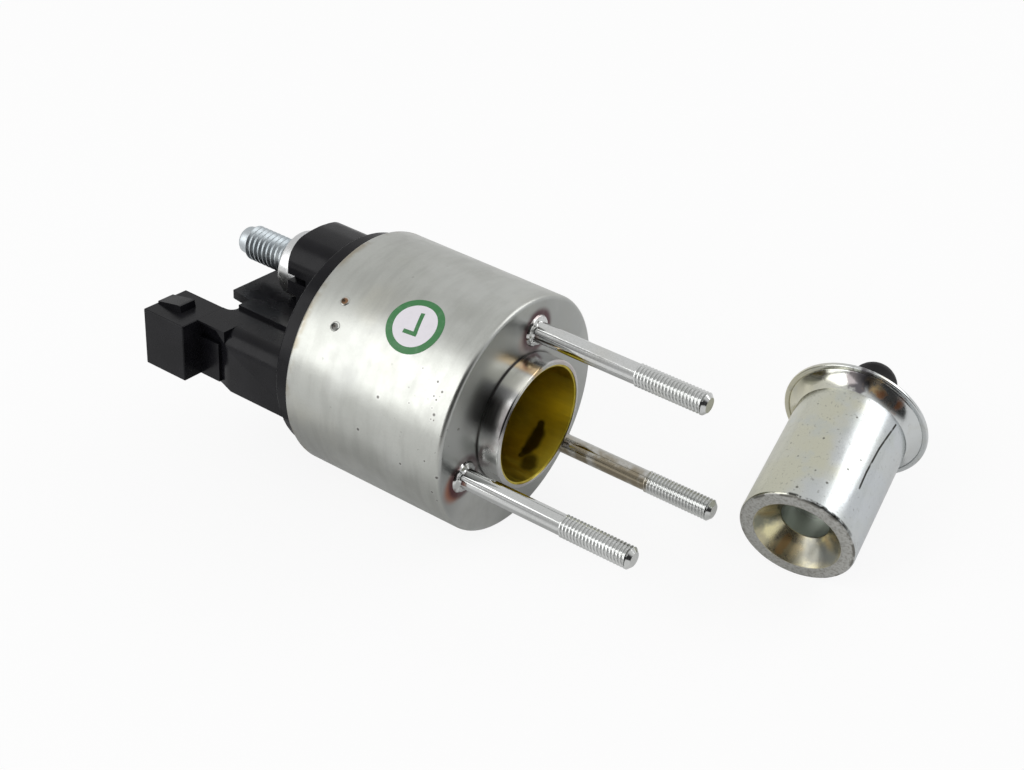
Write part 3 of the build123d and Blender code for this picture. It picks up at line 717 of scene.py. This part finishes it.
def addStakeLip(bm, place):
    # the low crater that a punch raises in the sheet
    station, side, height = place
    around = math.atan2(height, side)
    lip = turnedShape(can["stakeLip"], 28)
    for vert in lip.verts:
        bearing = math.atan2(vert.co.z, vert.co.y)
        vert.co.y *= 1 + 0.10 * math.sin(2 * bearing)
        vert.co.x *= 1 + 0.5 * math.sin(bearing + 0.6)
    outward = Matrix.Rotation(math.pi / 2, 4, "Z")
    turn = Matrix.Rotation(around, 4, "X")
    foot = (station, *aroundAxis(math.degrees(around), can["radius"]))
    move = Matrix.Translation(Vector(foot) * mm)
    bmesh.ops.transform(lip, matrix=move @ turn @ outward, verts=lip.verts)
    mesh = meshFrom("stakeLip", lip)
    bm.from_mesh(mesh)
    bpy.data.meshes.remove(mesh)


def buildCan():
    inner = can["radius"] - can["wall"]
    outline = [
        (-can["frontWall"], can["sleeveRadius"]),
        (can["neckLength"], can["sleeveRadius"]),
        (can["neckLength"], can["neckRadius"]),
        (0, can["neckRadius"]),
        (0, can["radius"]),
        (-can["length"], can["radius"]),
        (-can["length"], inner),
        (-can["frontWall"], inner),
    ]
    bm = turnedShape(outline, 256)
    roundRing(bm, 0, can["radius"], can["corner"], 5)
    roundRing(bm, -can["length"], can["radius"], can["rimRound"], 4)
    roundRing(bm, can["neckLength"], can["neckRadius"], can["neckRim"], 4)
    for place in canMarks["stakes"]:
        addStakeLip(bm, place)
    makePiece("canShell", bm, canZinc, "solenoid", ["can_shell"])


buildCan()

# Round inspection sticker, bare but for a plain tick

sticker = {
    "station": -16.2, "angle": 114.0, "radius": 6.3, "ring": 1.5, "thickness": 0.06,
    "green": (0.050, 0.200, 0.070), "white": (0.80, 0.77, 0.82),
    "tickPoints": [(-1.9, 1.7), (-1.7, -1.1), (3.1, 0.0)], "tickWidth": 0.9, "tickLift": 0.072,
    "border": 0.4, "insets": (1.4, 1.3, 1.2), "sink": 0.02,
}


def wrapOnCan(verts, lift):
    # a flat shape in millimetres, laid on the can's side with its top towards the cap
    for vert in verts:
        along = sticker["station"] - vert.co.y
        around = math.radians(sticker["angle"]) - vert.co.x / can["radius"]
        reach = can["radius"] + (lift if vert.co.z >= 0 else -sticker["sink"])
        vert.co = Vector((along, reach * math.cos(around), reach * math.sin(around))) * mm


def stickerFinish(name, colour):
    material, tree, shader = newFinish(name)
    worn = grain(tree, 700, 4.0, 0.45, 0.75, 0.0, 0.35)
    paler = tuple(c * 0.75 + 0.12 for c in colour)
    tree.links.new(mixColour(tree, worn, colour, paler), shader.inputs["Base Color"])
    shader.inputs["Roughness"].default_value = 0.42
    shader.inputs["Specular IOR Level"].default_value = 0.35
    addBump(tree, shader, noise(tree, place3d(tree), 900, 3.0), 0.08, 0.00005)
    return material


def buildSticker():
    bm = bmesh.new()
    bmesh.ops.create_circle(bm, cap_ends=True, segments=72, radius=sticker["radius"])
    centre = bm.faces[:]
    for width in (sticker["border"], sticker["ring"] - sticker["border"]):
        bmesh.ops.inset_individual(bm, faces=centre, thickness=width, use_even_offset=True)
    ring = set(bm.faces) - set(centre)
    for width in sticker["insets"]:
        bmesh.ops.inset_individual(bm, faces=centre, thickness=width, use_even_offset=True)
    for face in bm.faces:
        face.material_index = 0 if face in ring else 1
    # a thin edge down to the metal
    outer = [edge for edge in bm.edges if edge.is_boundary]
    skirt = bmesh.ops.extrude_edge_only(bm, edges=outer)["geom"]
    lowered = [item for item in skirt if isinstance(item, bmesh.types.BMVert)]
    bmesh.ops.translate(bm, vec=(0, 0, -1), verts=lowered)
    wrapOnCan(bm.verts, sticker["thickness"])
    # the tick is two bars
    corners = [Vector(point).to_3d() for point in sticker["tickPoints"]]
    for first, second, extra in ((corners[0], corners[1], 0.5), (corners[1], corners[2], 0.0)):
        along = second - first
        length = along.length + extra * sticker["tickWidth"]
        move = Matrix.Translation(first + along.normalized() * length / 2)
        turn = along.to_track_quat("X", "Z").to_matrix().to_4x4()
        size = Matrix.Diagonal((length / 2, sticker["tickWidth"] / 2, 1, 1))
        place = move @ turn @ size
        bar = bmesh.ops.create_grid(bm, x_segments=8, y_segments=1, size=1.0, matrix=place)["verts"]
        wrapOnCan(bar, sticker["tickLift"])
    for face in bm.faces:
        face.normal_update()
        middle = face.calc_center_median()
        if face.normal.dot(Vector((0, middle.y, middle.z))) < 0:
            face.normal_flip()
    piece = makePiece("inspectionSticker", bm, stickerFinish("stickerGreen", sticker["green"]), "solenoid")
    piece.data.materials.append(stickerFinish("stickerWhite", sticker["white"]))


buildSticker()

sleeve = {"inner": 13.15, "outer": 13.65, "front": 5.2, "back": -28.8, "lipRound": 0.15}


def buildSleeve():
    outline = [
        (sleeve["back"], sleeve["inner"]),
        (sleeve["front"], sleeve["inner"]),
        (sleeve["front"], sleeve["outer"]),
        (sleeve["back"], sleeve["outer"]),
    ]
    bm = turnedShape(outline, 192)
    roundRing(bm, sleeve["front"], sleeve["inner"], sleeve["lipRound"], 2)
    makePiece("guideSleeve", bm, sleeveBrass, "solenoid", ["guide_sleeve"])


buildSleeve()
print("can made")

# Mounting studs, each with a rolled thread and a weld foot

stud = {
    "circle": 19.5, "firstAngle": 66.7, "count": 3, "length": 41.9, "threadLength": 17.2,
    "crest": 2.45, "root": 2.06, "shank": 2.24, "chamfer": 0.8, "pitch": 0.8,
    "foot": 3.6, "footHeight": 1.0,
    # weld bead: station, and its radius as a share of the foot's
    "bead": [(0.0, 1.0), (0.22, 1.0), (0.48, 0.93), (0.60, 0.80), (0.72, 0.70)],
}


def buildStud(index):
    threadStart = stud["length"] - stud["threadLength"]
    outline = [
        (0.0, 0.0),
        *((station, stud["foot"] * share) for station, share in stud["bead"]),
        (stud["footHeight"], stud["shank"]),
        (threadStart, stud["shank"]),
        (threadStart + 0.5, stud["root"]),
        (stud["length"] - stud["chamfer"], stud["root"]),
        (stud["length"] - stud["chamfer"], stud["crest"]),
        (stud["length"], stud["crest"] - stud["chamfer"]),
        (stud["length"], 0.0),
    ]
    bm = turnedShape(outline, 48, closed=False)
    # the weld bead runs unevenly round the foot
    for vert in bm.verts:
        reach = math.hypot(vert.co.y, vert.co.z)
        if vert.co.x > 0.1 * mm and reach > stud["shank"] * 1.05 * mm and vert.co.x < 2 * mm:
            turn = math.atan2(vert.co.z, vert.co.y) + index
            wave = 0.5 * math.sin(7 * turn) + 0.3 * math.sin(12 * turn + 2)
            grow = 1 + 0.045 * (wave - 0.8)
            vert.co.x *= 1 + 0.22 * wave
            vert.co.y *= grow
            vert.co.z *= grow
    addThread(bm, {
        "pitch": stud["pitch"], "root": stud["root"], "crest": stud["crest"],
        "start": threadStart, "end": stud["length"] - stud["chamfer"] + 0.3, "facets": 30,
    })
    angle = stud["firstAngle"] + index * 360 / stud["count"]
    move = Matrix.Translation(Vector((0, *aroundAxis(angle, stud["circle"]))) * mm)
    replaced = ["mounting_studs"] if index == 0 else ()
    makePiece(f"mountingStud_{index + 1}", bm, studZinc, "solenoid", replaced, move)


for index in range(stud["count"]):
    buildStud(index)
print("mounting studs made")

# Terminal studs and their collars

terminal = {
    "offset": 13.4, "crest": 3.93, "root": 3.42, "shank": 4.4, "bore": 4.5, "pitch": 1.25, "tip": -77.0,
    "dogRadius": 3.1, "dogLength": 2.0, "dogChamfer": 0.5, "shankEnd": -50.0, "undercut": 0.8,
    "collarRadius": 7.5, "collarFront": -56.0, "collarBack": -61.0, "collarRound": 0.4,
}


def buildTerminal(name, node, collarName, collarNode, height):
    dogStart = terminal["tip"] + terminal["dogLength"]
    outline = [
        (terminal["shankEnd"], 0.0),
        (terminal["shankEnd"], terminal["shank"]),
        (terminal["collarBack"], terminal["shank"]),
        (terminal["collarBack"] - terminal["undercut"], terminal["root"]),
        (dogStart + 0.3, terminal["root"]),
        (dogStart, terminal["dogRadius"]),
        (terminal["tip"] + terminal["dogChamfer"], terminal["dogRadius"]),
        (terminal["tip"], terminal["dogRadius"] - terminal["dogChamfer"]),
        (terminal["tip"], 0.0),
    ]
    bm = turnedShape(outline, 64, closed=False)
    roundRing(bm, terminal["tip"] + terminal["dogChamfer"], terminal["dogRadius"], 0.3, 3)
    addThread(bm, {
        "pitch": terminal["pitch"], "root": terminal["root"], "crest": terminal["crest"],
        "start": dogStart - 0.1, "end": terminal["collarBack"] - 0.1, "facets": 40,
    })
    makePiece(name, bm, terminalZinc, "solenoid", [node], capMatrix(height))
    collar = turnedShape([
        (terminal["collarFront"], terminal["bore"]),
        (terminal["collarFront"], terminal["collarRadius"]),
        (terminal["collarBack"], terminal["collarRadius"]),
        (terminal["collarBack"], terminal["bore"]),
    ], 96)
    roundRing(collar, terminal["collarBack"], terminal["collarRadius"], terminal["collarRound"], 4)
    makePiece(collarName, collar, collarZinc, "solenoid", [collarNode], capMatrix(height))


buildTerminal("batteryStud", "battery_stud", "batteryCollar", "battery_stud_collar", terminal["offset"])
buildTerminal("motorStud", "motor_stud", "motorCollar", "motor_stud_collar", -terminal["offset"])
print("terminals made")

# Moulded cap: a merged copy of its solid with eased edges

cap = {"edgeRound": 0.35, "flatAngle": 3.0, "roundAngle": 28.0}


def buildCap():
    source = bpy.data.objects["terminal_cap"]
    bm = bmesh.new()
    bm.from_mesh(source.data)
    bmesh.ops.remove_doubles(bm, verts=bm.verts, dist=2e-6)
    bmesh.ops.dissolve_limit(
        bm, angle_limit=math.radians(cap["flatAngle"]), verts=bm.verts, edges=bm.edges,
    )
    sharp = [
        edge for edge in bm.edges
        if len(edge.link_faces) == 2 and edge.calc_face_angle(0.0) > math.radians(cap["roundAngle"])
    ]
    bmesh.ops.bevel(
        bm, geom=sharp, offset=cap["edgeRound"] * mm, affect="EDGES", segments=2,
        profile=0.5, material=-1, clamp_overlap=True,
    )
    makePiece("terminalCap", bm, capPlastic, "solenoid", ["terminal_cap"], weighted=True)


buildCap()
print("cap made")

# Plunger, drawn along X from its mouth and then laid in its place

plunger = {
    "radius": 13.08, "crease": 32.0, "rear": 36.0, "spigot": 11.58, "mouthChamfer": 0.7,
    "sinkRadius": 9.9, "sinkDepth": 5.0, "pocketRadius": 5.4, "pocketDepth": 10.0,
    "boreRadius": 9.0, "boreFront": 14.0,
}
flange = {
    "waist": 35.2, "waistRadius": 15.5, "thickness": 1.0, "radius": 16.8, "bore": 11.63,
    "lipWidth": 1.6, "dishDepth": 1.2, "lipRound": 0.3, "slopeStart": 22.0, "slopeEnd": 58.0,
}
tip = {"front": 36.8, "shoulder": 48.5, "end": 52.5, "radius": 5.4, "bore": 4.05, "boreEnd": 48.05}


def buildPlunger():
    outline = [
        (plunger["pocketDepth"], 0.0),
        (plunger["pocketDepth"], plunger["pocketRadius"]),
        (plunger["sinkDepth"], plunger["pocketRadius"]),
        (0.0, plunger["sinkRadius"]),
        (0.0, plunger["radius"]),
        (plunger["crease"], plunger["radius"]),
        (plunger["crease"], plunger["spigot"]),
        (plunger["rear"], plunger["spigot"]),
        (plunger["rear"], plunger["boreRadius"]),
        (plunger["boreFront"], plunger["boreRadius"]),
        (plunger["boreFront"], 0.0),
    ]
    bm = turnedShape(outline, 192, closed=False)
    roundRing(bm, 0, plunger["radius"], plunger["mouthChamfer"], 4)
    roundRing(bm, 0, plunger["sinkRadius"], 0.25, 3)
    roundRing(bm, plunger["sinkDepth"], plunger["pocketRadius"], 0.25, 3)
    makePiece("plungerBody", bm, plungerZinc, "plunger_unit", ["plunger"], plungerMatrix())


def flareCurve(count=24):
    # shallow arc from the plunger's side out to the lip
    low, high = (math.radians(flange[key]) for key in ("slopeStart", "slopeEnd"))
    rise = (flange["waist"] - plunger["crease"]) / (math.sin(high) - math.sin(low))
    spread = (flange["waistRadius"] - plunger["radius"]) / (math.cos(low) - math.cos(high))
    points = []
    for step in range(count + 1):
        angle = low + (high - low) * step / count
        station = plunger["crease"] + rise * (math.sin(angle) - math.sin(low))
        points.append((station, plunger["radius"] + spread * (math.cos(low) - math.cos(angle))))
    return points


def buildFlange():
    back = flange["waist"] + flange["thickness"]
    outline = flareCurve() + [
        (flange["waist"] + 0.16, flange["waistRadius"] + 0.12),
        (flange["waist"], flange["waistRadius"] + 0.24),
        (flange["waist"], flange["radius"]),
        (back, flange["radius"]),
        (back, flange["radius"] - flange["lipWidth"]),
        (back - flange["dishDepth"], flange["radius"] - 2 * flange["lipWidth"]),
        (back - flange["dishDepth"], flange["bore"]),
        (plunger["crease"], flange["bore"]),
    ]
    bm = turnedShape(outline, 320)
    roundRing(bm, flange["waist"], flange["radius"], flange["lipRound"], 3)
    roundRing(bm, back, flange["radius"], flange["lipRound"], 3)
    place = plungerMatrix()
    makePiece("plungerFlange", bm, flangeZinc, "plunger_unit", ["plunger_flange"], place)


def buildTip():
    dome = tip["end"] - tip["shoulder"]
    sphere = (tip["radius"] ** 2 + dome ** 2) / (2 * dome)
    reach = math.asin(tip["radius"] / sphere)
    arc = []
    for step in range(9):
        angle = reach * (1 - step / 8)
        arc.append((tip["end"] - sphere * (1 - math.cos(angle)), sphere * math.sin(angle)))
    arc[-1] = (tip["end"], 0.0)
    outline = [
        (tip["boreEnd"], 0.0),
        (tip["boreEnd"], tip["bore"]),
        (tip["front"], tip["bore"]),
        (tip["front"], tip["radius"]),
    ] + arc
    bm = turnedShape(outline, 96, closed=False)
    makePiece("rodTip", bm, tipPlastic, "rod_unit", ["pull_rod_tip"], plungerMatrix())


buildPlunger()
buildFlange()
buildTip()
print("plunger made")

# Solids that keep their own shape and take a finish

innerFinishes = {
    innerNylon: ["bobbin", "core_bush", "bridge_washers"],
    innerCopper: [
        "pull_in_winding", "hold_in_winding", "switch_lead", "motor_lead", "contact_bridge", "switch_blade",
    ],
    innerSteel: [
        "fixed_core", "contact_rod", "rod_clip", "return_spring", "contact_spring", "plunger_clip",
        "spring_retainer", "pull_rod", "engagement_spring",
    ],
    sealRubber: ["cap_gasket"],
}
for finish, names in innerFinishes.items():
    for name in names:
        mesh = bpy.data.objects[name].data
        if not mesh.materials:
            mesh.materials.append(finish)
        for index in range(len(mesh.materials)):
            mesh.materials[index] = finish

# Floor, light and camera

studio = {
    "floorSize": 12.0, "floorTone": (0.92, 0.92, 0.92), "floorGlow": 0.88, "floorGlowInMetal": 0.15,
    # painted shade on the paper under the can's near side, seen only in metal, along a line in millimetres
    "floorNearShade": (0.52, 0.52, 0.52), "nearLine": [(-45, -30), (10, -30)], "nearWidth": 45,
    "backdrop": 0.975, "ambient": 0.60, "metalSurround": 0.8, "darkSide": 0.04,
    "darkHeading": -45.0, "darkHeight": 18.0, "darkEdge": (0.56, 0.84),
    "frontBox": {"heading": -127.0, "height": 34.0, "size": (0.62, 0.86), "glow": 1.75},
    "rearBox": {"heading": 54.0, "height": 36.0, "size": (0.56, 0.46), "glow": 1.8},
    "boxDistance": 0.85,
}


def mixShader(tree, amount, first, second):
    mix = tree.nodes.new("ShaderNodeMixShader")
    for socket, value in zip(mix.inputs, (amount, first, second)):
        tree.links.new(value, socket)
    return mix.outputs["Shader"]


def lightPath(tree):
    # whether a ray comes from the camera, from a gloss, or from either gloss or glass
    path = tree.nodes.new("ShaderNodeLightPath").outputs
    mirrored = mathStep(tree, "MAXIMUM", path["Is Glossy Ray"], path["Is Transmission Ray"])
    return path["Is Camera Ray"], path["Is Glossy Ray"], mirrored


def buildFloor():
    bm = bmesh.new()
    bmesh.ops.create_grid(bm, x_segments=1, y_segments=1, size=studio["floorSize"])
    bmesh.ops.translate(bm, vec=(0, 0, canLowest), verts=bm.verts)
    floor = addObject("floor", meshFrom("floor", bm))
    material, tree, shader = newFinish("floorPaper")
    shader.inputs["Roughness"].default_value = 0.9
    shader.inputs["Specular IOR Level"].default_value = 0.1
    camera, glossy, mirrored = lightPath(tree)
    start, end = (Vector((x * mm, y * mm, canLowest)) for x, y in studio["nearLine"])
    # painted shade on the floor near the can, for glossy rays only
    paintedNearShade = times(tree, lineMask(tree, start, end, studio["nearWidth"] * mm), glossy)
    tone = mixColour(tree, paintedNearShade, studio["floorTone"], studio["floorNearShade"])
    tree.links.new(tone, shader.inputs["Base Color"])
    glow = tree.nodes.new("ShaderNodeEmission")
    glow.inputs["Strength"].default_value = 1.0
    seen = times(tree, camera, studio["floorGlow"])
    share = mathStep(tree, "MAXIMUM", seen, times(tree, mirrored, studio["floorGlowInMetal"]))
    surface = mixShader(tree, share, shader.outputs["BSDF"], glow.outputs["Emission"])
    tree.links.new(surface, tree.nodes["Material Output"].inputs["Surface"])
    floor.data.materials.append(material)


def headingVector(heading, height):
    heading, height = math.radians(heading), math.radians(height)
    level = math.cos(height)
    return Vector((math.cos(heading) * level, math.sin(heading) * level, math.sin(height)))


def softBox(name, box):
    # an area lamp that looks at the object from its heading, as bright as its glow says
    lamp = bpy.data.lights.new(name, "AREA")
    lamp.shape = "RECTANGLE"
    lamp.size, lamp.size_y = box["size"]
    lamp.energy = box["glow"] * math.pi * lamp.size * lamp.size_y
    holder = addObject(name, lamp)
    away = headingVector(box["heading"], box["height"])
    holder.location = away * studio["boxDistance"]
    holder.rotation_mode = "QUATERNION"
    holder.rotation_quaternion = (-away).to_track_quat("-Z", "Y")


def backgroundLight(tree, strength):
    light = tree.nodes.new("ShaderNodeBackground")
    light.inputs["Color"].default_value = (1, 1, 1, 1)
    fillSocket(tree, light.inputs["Strength"], strength)
    return light.outputs["Background"]


def buildWorld():
    # white to the camera, pale to metal with one dark side, plain to everything else
    world = bpy.data.worlds.new("studioWorld")
    bpy.context.scene.world = world
    world.use_nodes = True
    tree = world.node_tree
    tree.nodes.remove(tree.nodes["Background"])
    outward = tree.nodes.new("ShaderNodeTexCoord").outputs["Generated"]
    dark = headingVector(studio["darkHeading"], studio["darkHeight"])
    toward = vectorStep(tree, "DOT_PRODUCT", outward, dark)
    tone = rangeOf(tree, toward, *studio["darkEdge"], studio["metalSurround"], studio["darkSide"])
    camera, _, mirrored = lightPath(tree)
    inScene = mixShader(
        tree, mirrored, backgroundLight(tree, studio["ambient"]), backgroundLight(tree, tone),
    )
    surface = mixShader(tree, camera, inScene, backgroundLight(tree, studio["backdrop"]))
    tree.links.new(surface, tree.nodes["World Output"].inputs["Surface"])


photoCamera = {
    "place": (152.53, -189.86, 222.21), "azimuth": 31.351, "elevation": 44.489, "roll": 1.396,
    "lens": 54.375, "shift": (-0.1504, 0.0826),
}


def buildCamera():
    azimuth, elevation, roll = (math.radians(photoCamera[k]) for k in ("azimuth", "elevation", "roll"))
    back = Vector((
        math.sin(azimuth) * math.cos(elevation),
        -math.cos(azimuth) * math.cos(elevation),
        math.sin(elevation),
    ))
    level = Vector((math.cos(azimuth), math.sin(azimuth), 0))
    upright = back.cross(level)
    right = level * math.cos(roll) + upright * math.sin(roll)
    up = back.cross(right)
    turn = Matrix((right, up, back)).transposed()
    data = bpy.data.cameras.new("photoCamera")
    data.sensor_width = 36
    data.lens = photoCamera["lens"]
    data.shift_x, data.shift_y = photoCamera["shift"]
    data.clip_start, data.clip_end = 0.01, 20
    camera = addObject("photoCamera", data)
    camera.matrix_world = Matrix.Translation(Vector(photoCamera["place"]) * mm) @ turn.to_4x4()
    bpy.context.scene.camera = camera


buildFloor()
buildWorld()
softBox("frontBox", studio["frontBox"])
softBox("rearBox", studio["rearBox"])
buildCamera()
bpy.context.scene.view_settings.view_transform = "Standard"
print("studio made")
